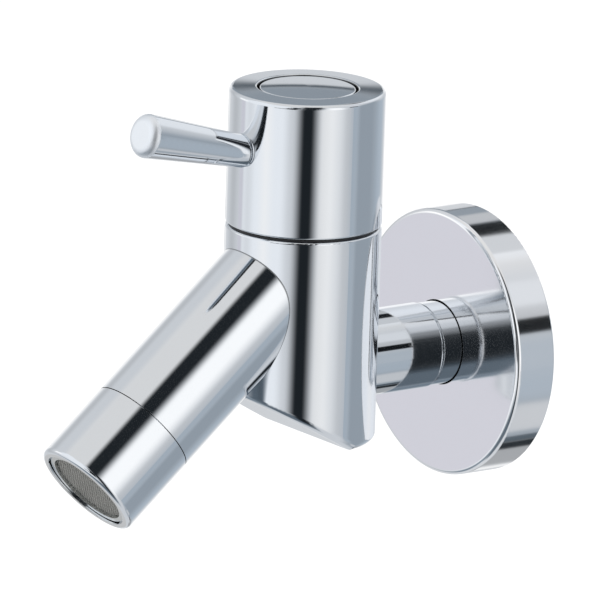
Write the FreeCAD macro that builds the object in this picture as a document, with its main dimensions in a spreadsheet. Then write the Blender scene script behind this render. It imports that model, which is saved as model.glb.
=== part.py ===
import FreeCAD, Part

import math
import os

import Sketcher

# Wall-mounted tap with a quarter-turn ceramic valve, in millimetres.
# The origin is on the wall face, on the axis of the inlet. +Y goes into the wall, +Z is up.

doc = FreeCAD.newDocument("wall_tap")
sheet = doc.addObject("Spreadsheet::Sheet", "dim")

SIZES = (
    # Column and inlet arm
    ("body_reach", 54.0),
    ("body_diameter", 38.8),
    ("body_top", 35.5),
    ("body_drop", 18.7),
    ("body_edge_round", 0.6),
    ("base_round", 2.0),
    ("nose_angle", 30.0),
    ("nose_setback", 3.3),
    ("arm_diameter", 21.4),
    ("arm_end", 17.1),
    ("arm_end_round", 0.8),
    ("shank_diameter", 20.8),
    ("shank_groove_width", 0.4),
    ("shank_groove_depth", 0.5),
    ("inlet_thread_diameter", 20.955),
    ("inlet_thread_length", 14.0),
    ("inlet_thread_cover", 4.0),
    ("inlet_thread_chamfer", 1.2),
    ("inlet_relief_diameter", 18.6),
    ("inlet_relief_length", 2.0),
    ("inlet_bore", 14.0),
    # Waterway inside the column
    ("well_bore", 12.0),
    ("well_depth", 7.0),
    ("seat_height", 8.0),
    ("chamber_bore", 23.0),
    ("valve_thread_diameter", 20.9),
    ("valve_thread_length", 11.0),
    ("valve_ring_section", 1.6),
    ("port_bore", 17.0),
    ("port_start", 12.0),
    # Spout and aerator, measured along the spout from the column's axis
    ("spout_height", 29.1),
    ("spout_fall", 40.0),
    ("spout_diameter", 28.0),
    ("spout_bore", 21.0),
    ("spout_length", 61.3),
    ("spout_neck_diameter", 23.9),
    ("spout_neck_length", 6.8),
    ("housing_length", 21.7),
    ("housing_joint", 0.25),
    ("housing_round", 1.1),
    ("mouth_bore", 23.8),
    ("mouth_depth", 10.6),
    ("shoulder_bore", 20.6),
    ("aerator_recess", 0.6),
    ("aerator_wall", 1.5),
    ("aerator_rim_gap", 0.35),
    ("aerator_rim_depth", 1.4),
    ("aerator_ledge", 0.8),
    ("aerator_washer_thickness", 1.5),
    ("aerator_washer_bore", 17.6),
    ("mesh_recess", 0.7),
    ("mesh_thickness", 0.5),
    ("mesh_pitch", 1.5),
    ("mesh_wire", 0.45),
    ("core_thickness", 4.0),
    ("core_hole", 1.8),
    ("core_hole_count", 12.0),
    ("core_ring_radius", 6.6),
    ("strainer_height", 2.2),
    ("strainer_wall", 0.6),
    # Wall flange
    ("flange_diameter", 66.8),
    ("flange_depth", 11.4),
    ("flange_wall", 1.6),
    ("flange_round", 1.2),
    ("flange_back_round", 0.4),
    ("flange_hub_wall", 3.6),
    ("flange_hub_depth", 5.4),
    ("flange_clearance", 0.3),
    ("flange_ring_section", 2.0),
    ("flange_ring_lip", 0.6),
    # Valve
    ("nose_diameter", 17.6),
    ("nose_lip", 0.8),
    ("valve_thread_runout", 0.5),
    ("seat_washer_thickness", 2.2),
    ("seat_washer_bore", 9.0),
    ("seat_gap", 0.4),
    ("disc_diameter", 14.4),
    ("disc_thickness", 3.0),
    ("port_inner_radius", 1.8),
    ("port_outer_radius", 5.6),
    ("port_span", 76.0),
    ("leg_width", 4.4),
    ("leg_height", 4.6),
    ("drive_slot_depth", 1.0),
    ("collar_thickness", 2.4),
    ("thrust_thickness", 0.8),
    ("hex_flats", 22.0),
    ("hex_height", 4.4),
    ("neck_diameter", 15.0),
    ("neck_height", 5.6),
    ("window_width", 9.0),
    ("window_height", 5.6),
    ("shaft_diameter", 9.5),
    ("shaft_ring_section", 1.3),
    ("shaft_ring_first", 29.0),
    ("shaft_ring_pitch", 6.0),
    ("clip_diameter", 12.2),
    ("clip_thickness", 0.9),
    ("clip_groove_diameter", 7.6),
    ("clip_land_diameter", 8.8),
    ("clip_land_length", 0.3),
    ("clip_gap", 0.15),
    ("spline_diameter", 8.0),
    ("spline_length", 9.2),
    ("spline_teeth", 20.0),
    ("spline_tooth_depth", 0.45),
    # Handle
    ("handle_diameter", 38.8),
    ("handle_top", 70.2),
    ("handle_rim_round", 1.1),
    ("handle_crown", 0.25),
    ("recess_round", 0.5),
    ("groove_height", 0.7),
    ("glide_thickness", 0.5),
    ("glide_bore", 26.4),
    ("glide_diameter", 36.8),
    ("skirt_wall", 3.6),
    ("skirt_depth", 11.6),
    ("bush_diameter", 14.0),
    ("bush_length", 9.4),
    ("web_thickness", 2.6),
    ("screw_diameter", 3.9),
    ("screw_hole_spare", 1.0),
    ("screw_head_diameter", 7.6),
    ("screw_head_height", 2.4),
    ("screw_drive", 2.5),
    ("screw_length", 10.5),
    ("screw_pocket", 10.4),
    ("cap_diameter", 24.0),
    ("cap_gap", 0.5),
    ("cap_thickness", 3.4),
    ("cap_crown", 0.5),
    ("cap_sink", 0.3),
    ("cap_round", 0.5),
    ("cap_spigot_diameter", 16.4),
    ("cap_spigot_length", 2.6),
    ("cap_ring_section", 1.0),
    # Lever, measured along the lever from the handle's axis
    ("lever_height", 51.4),
    ("lever_rise", 14.2),
    ("lever_reach", 52.0),
    ("lever_tip_diameter", 11.0),
    ("lever_root_diameter", 8.1),
    ("lever_root_round", 0.8),
    ("lever_tip_round", 2.2),
    ("stud_diameter", 5.0),
    ("stud_in_handle", 7.5),
    ("stud_in_lever", 8.0),
    ("stud_end_gap", 0.5),
    # Clearances
    ("thread_clearance", 0.05),
    ("running_clearance", 0.05),
    ("seal_clearance", 0.02),
    ("disc_clearance", 0.15),
    ("screw_clearance", 0.3),
    ("spigot_clearance", 0.2),
    ("ring_side_clearance", 0.05),
    ("overcut", 1.0),
)

for row, (alias, size) in enumerate(SIZES, start=1):
    sheet.set("A%d" % row, alias)
    sheet.set("B%d" % row, str(size))
    sheet.setAlias("B%d" % row, alias)
doc.recompute()


def number(expression):
    """The value of an expression of the sheet's sizes."""
    return float(sheet.evalExpression(expression.replace("dim.", "")))


def bind(item, path, expression):
    """Ties a property, or a part of one, to an expression of the sheet."""
    item.setExpression(path, expression)


# Places: each sets where a piece's own Z axis starts and which way it points.


def place_upright(item, height="0"):
    """On the column's axis, pointing up."""
    bind(item, ".Placement.Base.y", "-dim.body_reach")
    bind(item, ".Placement.Base.z", height)


def place_inlet(item, distance="0"):
    """On the inlet's axis, pointing away from the wall."""
    item.Placement = FreeCAD.Placement(FreeCAD.Vector(), FreeCAD.Rotation(FreeCAD.Vector(1, 0, 0), 90))
    bind(item, ".Placement.Base.y", "-(%s)" % distance)


def place_spout(item, distance="0"):
    """On the spout's axis, pointing down towards the outlet."""
    item.Placement = FreeCAD.Placement(FreeCAD.Vector(), FreeCAD.Rotation(FreeCAD.Vector(1, 0, 0), 130))
    bind(item, ".Placement.Rotation.Angle", "90 + dim.spout_fall")
    bind(item, ".Placement.Base.y", "-dim.body_reach - (%s) * cos(dim.spout_fall * 1 deg)" % distance)
    bind(item, ".Placement.Base.z", "dim.spout_height - (%s) * sin(dim.spout_fall * 1 deg)" % distance)


def place_lever(item, distance="0"):
    """On the lever's axis, pointing out towards its tip."""
    item.Placement = FreeCAD.Placement(FreeCAD.Vector(), FreeCAD.Rotation(FreeCAD.Vector(1, 0, 0), 75))
    bind(item, ".Placement.Rotation.Angle", "90 - dim.lever_rise")
    bind(item, ".Placement.Base.y", "-dim.body_reach - (%s) * cos(dim.lever_rise * 1 deg)" % distance)
    bind(item, ".Placement.Base.z", "dim.lever_height + (%s) * sin(dim.lever_rise * 1 deg)" % distance)


# Simple solids and their combinations


def cylinder(name, radius, height, place, start="0"):
    """A cylinder of the given radius and height, from start along the chosen axis."""
    item = doc.addObject("Part::Cylinder", name)
    bind(item, "Radius", radius)
    bind(item, "Height", height)
    place(item, start)
    return item


def ring_seal(name, mean_radius, section, place, centre):
    """A round rubber ring about the chosen axis."""
    item = doc.addObject("Part::Torus", name)
    bind(item, "Radius1", mean_radius)
    bind(item, "Radius2", "%s / 2" % section)
    place(item, centre)
    return item


def join(name, parts):
    """The union of several solids."""
    item = doc.addObject("Part::MultiFuse", name)
    item.Shapes = parts
    item.Refine = True
    return item


def cut(name, base, tool):
    """The base with the tool taken away."""
    item = doc.addObject("Part::Cut", name)
    item.Base = base
    item.Tool = tool
    item.Refine = False
    return item


def common(name, first, second):
    """What two solids share."""
    item = doc.addObject("Part::MultiCommon", name)
    item.Shapes = [first, second]
    return item


# How near a point must lie to count as on a named circle or plane
EDGE_SEARCH = 0.01


def edges_where(shape, test):
    """The numbers of the edges whose ends and middle all pass the test."""
    found = []
    for index, edge in enumerate(shape.Edges, start=1):
        first, last = edge.ParameterRange
        points = [edge.valueAt(first + (last - first) * share) for share in (0.0, 0.25, 0.5, 0.75, 1.0)]
        if all(test(point) for point in points):
            found.append(index)
    if not found:
        raise RuntimeError("no edge to round was found")
    return found


def round_edges(name, base, radius, test):
    """The base with the edges that pass the test rounded."""
    doc.recompute()
    item = doc.addObject("Part::Fillet", name)
    item.Base = base
    size = number(radius)
    item.Edges = [(index, size, size) for index in edges_where(base.Shape, test)]
    return item


# Turned pieces: a closed outline in the plane of the axis, turned all the way round it


def origin_feature(body, role):
    """One of a body's own origin planes or axes."""
    return next(item for item in body.Origin.OriginFeatures if item.Role == role)


def outline(body, name, corners, plane="XZ_Plane"):
    """A closed sketch with straight sides, whose corners are pairs of expressions."""
    sketch = body.newObject("Sketcher::SketchObject", name)
    sketch.AttachmentSupport = [(origin_feature(body, plane), "")]
    sketch.MapMode = "FlatFace"
    points = [FreeCAD.Vector(number(across), number(along), 0) for across, along in corners]
    for index, point in enumerate(points):
        following = points[(index + 1) % len(points)]
        sketch.addGeometry(Part.LineSegment(point, following), False)
    for index in range(len(points)):
        sketch.addConstraint(Sketcher.Constraint("Coincident", index, 2, (index + 1) % len(points), 1))
    for index, (across, along) in enumerate(corners):
        pin(sketch, index, across, "DistanceX", -2, points[index].x)
        pin(sketch, index, along, "DistanceY", -1, points[index].y)
    return sketch


def pin(sketch, index, expression, kind, axis, value):
    """Holds one coordinate of a line's first end to an expression, or to the axis where it is 0."""
    if expression == "0":
        sketch.addConstraint(Sketcher.Constraint("PointOnObject", index, 1, axis))
        return
    constraint = sketch.addConstraint(Sketcher.Constraint(kind, -1, 1, index, 1, value))
    bind(sketch, "Constraints[%d]" % constraint, expression)


def turned(name, corners, place, start="0"):
    """A body turned from an outline of (radius, height) corners about its own Z axis."""
    body = doc.addObject("PartDesign::Body", name)
    sketch = outline(body, name + "_outline", corners)
    feature = body.newObject("PartDesign::Revolution", name + "_turned")
    feature.Profile = sketch
    feature.ReferenceAxis = (sketch, ["V_Axis"])
    feature.Angle = 360
    place(body, start)
    return body


def bored(body, corners):
    """Takes a turned hollow out of a body."""
    sketch = outline(body, body.Name + "_bore_outline", corners)
    feature = body.newObject("PartDesign::Groove", body.Name + "_bore")
    feature.Profile = sketch
    feature.ReferenceAxis = (sketch, ["V_Axis"])
    feature.Angle = 360
    return feature


def tube(name, outer, inner, height, place, start="0"):
    """A plain ring of the given radii."""
    corners = ((inner, "0"), (outer, "0"), (outer, height), (inner, height))
    return turned(name, corners, place, start)


nodes = []


def keep(item, label):
    """Names a finished piece, which is written under that name."""
    item.Label = label
    nodes.append(item)
    return item


# Column, arm and waterway


def nose_wedge():
    """The slanted slice under the front of the column, from the ridge forward and up."""
    wedge = doc.addObject("Part::Box", "nose_wedge")
    bind(wedge, "Length", "dim.body_diameter + 2 * dim.overcut")
    bind(wedge, "Width", "dim.body_diameter * 2")
    bind(wedge, "Height", "dim.body_diameter")
    wedge.Placement = FreeCAD.Placement(FreeCAD.Vector(), FreeCAD.Rotation(FreeCAD.Vector(1, 0, 0), 150))
    bind(wedge, ".Placement.Rotation.Angle", "180 - dim.nose_angle")
    bind(wedge, ".Placement.Base.x", "-dim.body_diameter / 2 - dim.overcut")
    bind(wedge, ".Placement.Base.y", "-dim.body_reach + dim.nose_setback")
    bind(wedge, ".Placement.Base.z", "-dim.body_drop")
    return wedge


def round_column(outside):
    """The column with its top rim, its base and the edges of its slanted underside rounded."""
    centre = -number("dim.body_reach")
    half = number("dim.body_diameter / 2")
    top = number("dim.body_top")
    drop = number("dim.body_drop")
    slope = math.tan(math.radians(number("dim.nose_angle")))
    ridge = centre + number("dim.nose_setback")

    def on_side(point):
        return abs(math.hypot(point.x, point.y - centre) - half) < EDGE_SEARCH

    def on_top_rim(point):
        return on_side(point) and abs(point.z - top) < EDGE_SEARCH

    def on_base_edge(point):
        flat = abs(point.z + drop) < EDGE_SEARCH
        slanted = abs(point.z + drop - (ridge - point.y) * slope) < EDGE_SEARCH
        return (flat and slanted) or (on_side(point) and (flat or slanted))

    based = round_edges("column_base_rounded", outside, "dim.base_round", on_base_edge)
    return round_edges("column_rounded", based, "dim.body_edge_round", on_top_rim)


def make_tap_body():
    """Column with its slanted underside, inlet arm and thread, and the waterway bored in it."""
    column = cylinder("column", "dim.body_diameter / 2", "dim.body_top + dim.body_drop", place_upright,
                      "-dim.body_drop")
    arm = turned("arm", (
        ("0", "dim.arm_end"),
        ("dim.arm_diameter / 2", "dim.arm_end"),
        ("dim.arm_diameter / 2", "dim.body_reach"),
        ("0", "dim.body_reach")), place_inlet)
    rim_edges(arm, number("dim.arm_diameter / 2"), number("dim.arm_end"), "dim.arm_end_round")
    thread = "dim.inlet_thread_diameter / 2"
    relief = "dim.inlet_relief_diameter / 2"
    thread_end = "dim.inlet_thread_length + dim.inlet_thread_cover"
    relief_end = thread_end + " + dim.inlet_relief_length"
    shank = "dim.shank_diameter / 2"
    shank_end = "dim.inlet_thread_length + dim.arm_end"
    groove_start = shank_end + " - dim.shank_groove_width"
    inlet = turned("inlet_thread", (
        ("0", "0"),
        (thread + " - dim.inlet_thread_chamfer", "0"),
        (thread, "dim.inlet_thread_chamfer"),
        (thread, thread_end),
        (relief, thread_end),
        (relief, relief_end),
        (shank, relief_end),
        (shank, groove_start),
        (shank + " - dim.shank_groove_depth", groove_start),
        (shank + " - dim.shank_groove_depth", shank_end + " + dim.arm_end_round"),
        ("0", shank_end + " + dim.arm_end_round")), place_inlet, "-dim.inlet_thread_length")
    outside = cut("column_nosed", join("column_and_arm", [column, arm, inlet]), nose_wedge())
    rounded = round_column(outside)
    waterway = join("waterway", [
        cylinder("inlet_way", "dim.inlet_bore / 2", "dim.body_reach + dim.inlet_thread_length + dim.overcut",
                 place_inlet, "-dim.inlet_thread_length - dim.overcut"),
        cylinder("well", "dim.well_bore / 2", "dim.well_depth + dim.seat_height", place_upright,
                 "-dim.well_depth"),
        cylinder("chamber", "dim.chamber_bore / 2",
                 "dim.body_top - dim.valve_thread_length - dim.seat_height", place_upright,
                 "dim.seat_height"),
        cylinder("valve_thread", "dim.valve_thread_diameter / 2 + dim.thread_clearance",
                 "dim.valve_thread_length + dim.overcut", place_upright,
                 "dim.body_top - dim.valve_thread_length"),
        cylinder("ring_seat", "dim.valve_thread_diameter / 2 + dim.valve_ring_section + dim.seal_clearance",
                 "dim.valve_ring_section + 2 * dim.ring_side_clearance + dim.overcut", place_upright,
                 "dim.body_top - dim.valve_ring_section - 2 * dim.ring_side_clearance"),
        cylinder("spout_port", "dim.port_bore / 2", "dim.body_diameter", place_spout, "dim.port_start"),
    ])
    keep(cut("tap_body_bored", rounded, waterway), "tap_body")


# Spout and aerator


def make_spout_tube():
    """Straight tube with a threaded neck, coped to the column's round side."""
    tube_blank = turned("spout_blank", (
        ("dim.spout_bore / 2", "dim.port_start"),
        ("dim.spout_diameter / 2", "dim.port_start"),
        ("dim.spout_diameter / 2", "dim.spout_length"),
        ("dim.spout_neck_diameter / 2", "dim.spout_length"),
        ("dim.spout_neck_diameter / 2", "dim.spout_length + dim.spout_neck_length"),
        ("dim.spout_bore / 2", "dim.spout_length + dim.spout_neck_length")), place_spout)
    column_side = cylinder("spout_cope", "dim.body_diameter / 2", "dim.body_diameter * 2", place_upright,
                           "-dim.body_diameter")
    keep(cut("spout_coped", tube_blank, column_side), "spout_tube")


HOUSING_START = "dim.spout_length + dim.housing_joint"
HOUSING_END = "dim.spout_length + dim.housing_joint + dim.housing_length"
SHOULDER = HOUSING_END + " - dim.mouth_depth"
SHELL_START = SHOULDER + " + dim.aerator_washer_thickness"
SHELL_END = HOUSING_END + " - dim.aerator_recess"
MESH_START = SHELL_END + " - dim.mesh_recess - dim.mesh_thickness"
LEDGE_START = MESH_START + " - dim.aerator_ledge"
CORE_START = LEDGE_START + " - dim.core_thickness"
SHELL_RADIUS = "dim.mouth_bore / 2 - dim.thread_clearance"
CORE_RADIUS = SHELL_RADIUS + " - dim.aerator_wall"


def make_aerator_housing():
    """Sleeve screwed on the spout's neck, with an inner shoulder above the mouth."""
    neck_end = "dim.spout_length + dim.spout_neck_length + dim.housing_joint"
    neck = "dim.spout_neck_diameter / 2 + dim.thread_clearance"
    body = turned("housing", (
        (neck, HOUSING_START),
        ("dim.spout_diameter / 2", HOUSING_START),
        ("dim.spout_diameter / 2", HOUSING_END),
        ("dim.mouth_bore / 2", HOUSING_END),
        ("dim.mouth_bore / 2", SHOULDER),
        ("dim.shoulder_bore / 2", SHOULDER),
        ("dim.shoulder_bore / 2", neck_end),
        (neck, neck_end)), place_spout)
    rim_edges(body, number("dim.spout_diameter / 2"), number(HOUSING_END), "dim.housing_round")
    keep(body, "aerator_housing")


def rim_edges(body, radius, height, size):
    """Rounds the circle of the given radius and height in a turned body."""
    doc.recompute()
    tip = body.Tip

    def on_circle(point):
        across = abs(math.hypot(point.x, point.y) - radius)
        return across < EDGE_SEARCH and abs(point.z - height) < EDGE_SEARCH

    names = ["Edge%d" % index for index in edges_where(tip.Shape, on_circle)]
    rounding = body.newObject("PartDesign::Fillet", body.Name + "_round_%d" % len(body.Group))
    rounding.Base = (tip, names)
    bind(rounding, "Radius", size)
    return rounding


def make_aerator():
    """Washer, shell, strainer, flow disc and outlet mesh in the mouth of the housing."""
    keep(tube("washer", SHELL_RADIUS, "dim.aerator_washer_bore / 2", "dim.aerator_washer_thickness",
              place_spout, SHOULDER), "aerator_washer")
    ledge = CORE_RADIUS + " - dim.aerator_ledge"
    keep(turned("shell", (
        (CORE_RADIUS, SHELL_START),
        (SHELL_RADIUS, SHELL_START),
        (SHELL_RADIUS, SHELL_END + " - dim.aerator_rim_depth"),
        (SHELL_RADIUS + " - dim.aerator_rim_gap", SHELL_END + " - dim.aerator_rim_depth"),
        (SHELL_RADIUS + " - dim.aerator_rim_gap", SHELL_END),
        (CORE_RADIUS, SHELL_END),
        (CORE_RADIUS, MESH_START),
        (ledge, MESH_START),
        (ledge, LEDGE_START),
        (CORE_RADIUS, LEDGE_START)), place_spout), "aerator_shell")
    make_aerator_core()
    make_aerator_strainer()
    make_aerator_mesh()


def make_aerator_core():
    """Flow disc with a ring of small holes, resting on the shell's ledge."""
    body = tube("core", CORE_RADIUS + " - dim.running_clearance", "dim.core_hole / 2", "dim.core_thickness",
                place_spout, CORE_START)
    sketch = body.newObject("Sketcher::SketchObject", "core_hole_outline")
    sketch.AttachmentSupport = [(origin_feature(body, "XY_Plane"), "")]
    sketch.MapMode = "FlatFace"
    radius = number("dim.core_ring_radius")
    sketch.addGeometry(Part.Circle(FreeCAD.Vector(radius, 0, 0), FreeCAD.Vector(0, 0, 1),
                                   number("dim.core_hole / 2")), False)
    sketch.addConstraint(Sketcher.Constraint("PointOnObject", 0, 3, -1))
    spread = sketch.addConstraint(Sketcher.Constraint("DistanceX", -1, 1, 0, 3, radius))
    size = sketch.addConstraint(Sketcher.Constraint("Radius", 0, number("dim.core_hole / 2")))
    bind(sketch, "Constraints[%d]" % spread, "dim.core_ring_radius")
    bind(sketch, "Constraints[%d]" % size, "dim.core_hole / 2")
    hole = body.newObject("PartDesign::Pocket", "core_hole")
    hole.Profile = sketch
    hole.Type = "ThroughAll"
    hole.Reversed = True
    holes = body.newObject("PartDesign::PolarPattern", "core_holes")
    holes.Originals = [hole]
    holes.Axis = (sketch, ["N_Axis"])
    holes.Angle = 360
    bind(holes, "Occurrences", "dim.core_hole_count")
    body.Tip = holes
    keep(body, "aerator_core")


def make_aerator_strainer():
    """Shallow dished screen that sits in the shell over the flow disc."""
    outer = CORE_RADIUS + " - dim.running_clearance"
    keep(turned("strainer", (
        ("0", "0"),
        ("dim.core_ring_radius", "dim.strainer_height - dim.strainer_wall"),
        (outer, "dim.strainer_height - dim.strainer_wall"),
        (outer, "dim.strainer_height"),
        ("dim.core_ring_radius - dim.strainer_wall / 2", "dim.strainer_height"),
        ("0", "dim.strainer_wall")), place_spout, CORE_START + " - dim.strainer_height"),
         "aerator_strainer")


def make_aerator_mesh():
    """Outlet screen: one disc with square holes on a regular pitch."""
    disc = cylinder("mesh_disc", CORE_RADIUS + " - dim.seal_clearance", "dim.mesh_thickness", place_spout,
                    MESH_START)
    holes = doc.addObject("Part::Feature", "mesh_holes")
    pitch = number("dim.mesh_pitch")
    side = pitch - number("dim.mesh_wire")
    reach = number(CORE_RADIUS) - number("dim.mesh_wire") * 2
    depth = number("dim.mesh_thickness")
    count = int(reach / pitch)
    boxes = []
    for column in range(-count, count + 1):
        for line in range(-count, count + 1):
            corner = math.hypot(abs(column) * pitch + side / 2, abs(line) * pitch + side / 2)
            if corner < reach:
                corner_point = FreeCAD.Vector(column * pitch - side / 2, line * pitch - side / 2, -depth)
                boxes.append(Part.makeBox(side, side, depth * 3, corner_point))
    holes.Shape = Part.makeCompound(boxes)
    place_spout(holes, MESH_START)
    keep(cut("mesh_cut", disc, holes), "aerator_mesh")


# Wall flange


def make_flange():
    """Round cup with a hub that holds a rubber ring on the inlet's shank."""
    rim = "dim.flange_diameter / 2"
    hole = "dim.shank_diameter / 2 + dim.flange_clearance"
    hub = "dim.shank_diameter / 2 + dim.flange_hub_wall"
    back = "dim.flange_depth - dim.flange_wall"
    groove = "dim.shank_diameter / 2 + dim.flange_ring_section"
    groove_end = "dim.flange_depth - dim.flange_wall - dim.flange_ring_lip"
    groove_start = groove_end + " - dim.flange_ring_section"
    body = turned("flange", (
        (rim + " - dim.flange_wall", "0"),
        (rim, "0"),
        (rim, "dim.flange_depth"),
        (hole, "dim.flange_depth"),
        (hole, groove_end),
        (groove, groove_end),
        (groove, groove_start),
        (hole, groove_start),
        (hole, back + " - dim.flange_hub_depth"),
        (hub, back + " - dim.flange_hub_depth"),
        (hub, back),
        (rim + " - dim.flange_wall", back)), place_inlet)
    rim_edges(body, number(rim), number("dim.flange_depth"), "dim.flange_round")
    rim_edges(body, number(rim), 0.0, "dim.flange_back_round")
    keep(body, "wall_flange")
    section = "(dim.flange_ring_section - 2 * dim.seal_clearance)"
    keep(ring_seal("flange_seal", "dim.shank_diameter / 2 + dim.flange_ring_section / 2", section,
                   place_inlet, groove_end + " - dim.flange_ring_section / 2"), "flange_ring")


# Valve


DISC_START = "dim.seat_height + dim.seat_washer_thickness"
FOOT_START = DISC_START + " + 2 * dim.disc_thickness"
LEG_START = FOOT_START + " - dim.drive_slot_depth + dim.running_clearance"
COLLAR_START = FOOT_START + " + dim.leg_height"
COLLAR_END = COLLAR_START + " + dim.collar_thickness"
ROOF = COLLAR_END + " + dim.thrust_thickness"
HEX_END = "dim.body_top + dim.hex_height"
NECK_END = HEX_END + " + dim.neck_height"
CLIP_START = NECK_END + " + dim.clip_gap"
CLIP_END = CLIP_START + " + dim.clip_thickness"
SPLINE_START = CLIP_END + " + dim.clip_land_length"
SPLINE_END = SPLINE_START + " + dim.spline_length"
SHAFT_BORE = "dim.shaft_diameter / 2 + dim.running_clearance"


def make_headwork_body():
    """Valve body: nose with two windows, thread, hexagon and neck."""
    nose = "dim.nose_diameter / 2"
    thread = "dim.valve_thread_diameter / 2"
    thread_start = "dim.body_top - dim.valve_thread_length + dim.valve_thread_runout"
    body = turned("headwork", (
        ("0", "dim.seat_height + dim.seat_gap"),
        (nose, "dim.seat_height + dim.seat_gap"),
        (nose, thread_start),
        (thread, thread_start),
        (thread, HEX_END),
        ("dim.neck_diameter / 2", HEX_END),
        ("dim.neck_diameter / 2", NECK_END),
        ("0", NECK_END)), place_upright)
    corner = "dim.hex_flats / sqrt(3)"
    half = corner + " / 2"
    side = "dim.hex_flats / 2"
    hexagon = outline(body, "hexagon_outline", (
        (corner, "0"), (half, side), ("-" + half, side),
        ("-" + corner, "0"), ("-" + half, "-" + side), (half, "-" + side)), "XY_Plane")
    bind(hexagon, ".AttachmentOffset.Base.z", "dim.body_top")
    pad = body.newObject("PartDesign::Pad", "hexagon_pad")
    pad.Profile = hexagon
    bind(pad, "Length", "dim.hex_height")
    doc.recompute()
    cavity = "dim.disc_diameter / 2 + dim.disc_clearance"
    washer = "dim.nose_diameter / 2 - dim.nose_lip"
    bored(body, (
        ("0", "dim.seat_height"),
        (washer, "dim.seat_height"),
        (washer, DISC_START),
        (cavity, DISC_START),
        (cavity, ROOF),
        (SHAFT_BORE, ROOF),
        (SHAFT_BORE, NECK_END + " + dim.overcut"),
        ("0", NECK_END + " + dim.overcut")))
    window = outline(body, "window_outline", (
        ("-dim.window_width / 2", FOOT_START),
        ("dim.window_width / 2", FOOT_START),
        ("dim.window_width / 2", FOOT_START + " + dim.window_height"),
        ("-dim.window_width / 2", FOOT_START + " + dim.window_height")), "YZ_Plane")
    windows = body.newObject("PartDesign::Pocket", "windows")
    windows.Profile = window
    windows.Type = "ThroughAll"
    windows.Midplane = True
    keep(body, "headwork_body")


def make_valve_seals():
    """O-ring under the hexagon and the rubber washer on the seat."""
    section = "(dim.valve_ring_section - dim.seal_clearance)"
    middle = "dim.valve_thread_diameter / 2 + dim.valve_ring_section / 2 + dim.seal_clearance"
    keep(ring_seal("valve_seal", middle, section, place_upright,
                   "dim.body_top - dim.valve_ring_section / 2 - dim.ring_side_clearance"), "headwork_ring")
    keep(tube("seat_seal", "dim.nose_diameter / 2 - dim.nose_lip", "dim.seat_washer_bore / 2",
              "dim.seat_washer_thickness", place_upright, "dim.seat_height"), "seat_washer")


def ported_disc(name, start, heading):
    """Ceramic disc with two sector ports opposite each other, the first about the heading."""
    disc = cylinder(name + "_blank", "dim.disc_diameter / 2", "dim.disc_thickness", place_upright, start)
    through = "dim.disc_thickness + 2 * dim.overcut"
    below = start + " - dim.overcut"
    ports = []
    for side in (0, 180):
        sector = cylinder("%s_sector_%d" % (name, side), "dim.port_outer_radius", through, place_upright,
                          below)
        bind(sector, "Angle", "dim.port_span")
        sector.Placement.Rotation = FreeCAD.Rotation(FreeCAD.Vector(0, 0, 1), 1)
        bind(sector, ".Placement.Rotation.Angle", "%d - dim.port_span / 2" % (heading + side))
        ports.append(sector)
    core = cylinder(name + "_core", "dim.port_inner_radius", through, place_upright, below)
    holes = cut(name + "_ports", join(name + "_sectors", ports), core)
    return cut(name + "_ported", disc, holes)


def make_discs():
    """Fixed disc with ports on the X sides, and turning disc shut across it, slotted for the legs."""
    keep(ported_disc("lower_disc", DISC_START, 0), "fixed_disc")
    turning = ported_disc("upper_disc", DISC_START + " + dim.disc_thickness", 90)
    slot = doc.addObject("Part::Box", "drive_slot")
    bind(slot, "Length", "dim.disc_diameter + 2 * dim.overcut")
    bind(slot, "Width", "dim.leg_width + 2 * dim.running_clearance")
    bind(slot, "Height", "dim.drive_slot_depth + dim.overcut")
    bind(slot, ".Placement.Base.x", "-dim.disc_diameter / 2 - dim.overcut")
    bind(slot, ".Placement.Base.y", "-dim.body_reach - dim.leg_width / 2 - dim.running_clearance")
    bind(slot, ".Placement.Base.z", FOOT_START + " - dim.drive_slot_depth")
    keep(cut("upper_disc_slotted", turning, slot), "turning_disc")


def make_spindle():
    """Shaft with two driving legs, a collar, a clip groove, a splined end and a tapped hole."""
    foot = "dim.disc_diameter / 2 - dim.disc_clearance"
    shaft = "dim.shaft_diameter / 2"
    hole = "dim.screw_diameter / 2 + dim.thread_clearance"
    groove = "dim.clip_groove_diameter / 2"
    spline = "dim.spline_diameter / 2"
    land = "dim.clip_land_diameter / 2"
    ring = "(dim.shaft_diameter / 2 - dim.shaft_ring_section + dim.running_clearance + dim.seal_clearance)"
    corners = [
        ("0", LEG_START),
        (foot, LEG_START),
        (foot, COLLAR_END),
        (shaft, COLLAR_END)]
    for step in range(2):
        low = "dim.shaft_ring_first + %d * dim.shaft_ring_pitch" % step
        high = low + " + dim.shaft_ring_section + 2 * dim.ring_side_clearance"
        corners += [(shaft, low), (ring, low), (ring, high), (shaft, high)]
    corners += [
        (shaft, CLIP_START),
        (groove, CLIP_START),
        (groove, CLIP_END),
        (land, CLIP_END),
        (land, SPLINE_START),
        (spline, SPLINE_START),
        (spline, SPLINE_END),
        (hole, SPLINE_END),
        (hole, SPLINE_END + " - dim.screw_length"),
        ("0", SPLINE_END + " - dim.screw_length")]
    body = turned("spindle_turned", corners, place_upright)
    side = outline(body, "leg_relief", (
        ("dim.leg_width / 2", LEG_START),
        ("dim.disc_diameter", LEG_START),
        ("dim.disc_diameter", COLLAR_START),
        ("dim.leg_width / 2", COLLAR_START)), "YZ_Plane")
    relief = body.newObject("PartDesign::Pocket", "leg_relief_cut")
    relief.Profile = side
    relief.Type = "ThroughAll"
    relief.Midplane = True
    reliefs = body.newObject("PartDesign::PolarPattern", "leg_reliefs")
    reliefs.Originals = [relief]
    reliefs.Axis = (origin_feature(body, "Z_Axis"), [""])
    reliefs.Angle = 360
    reliefs.Occurrences = 2
    body.Tip = reliefs
    make_spline(body)
    keep(body, "spindle")


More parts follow.
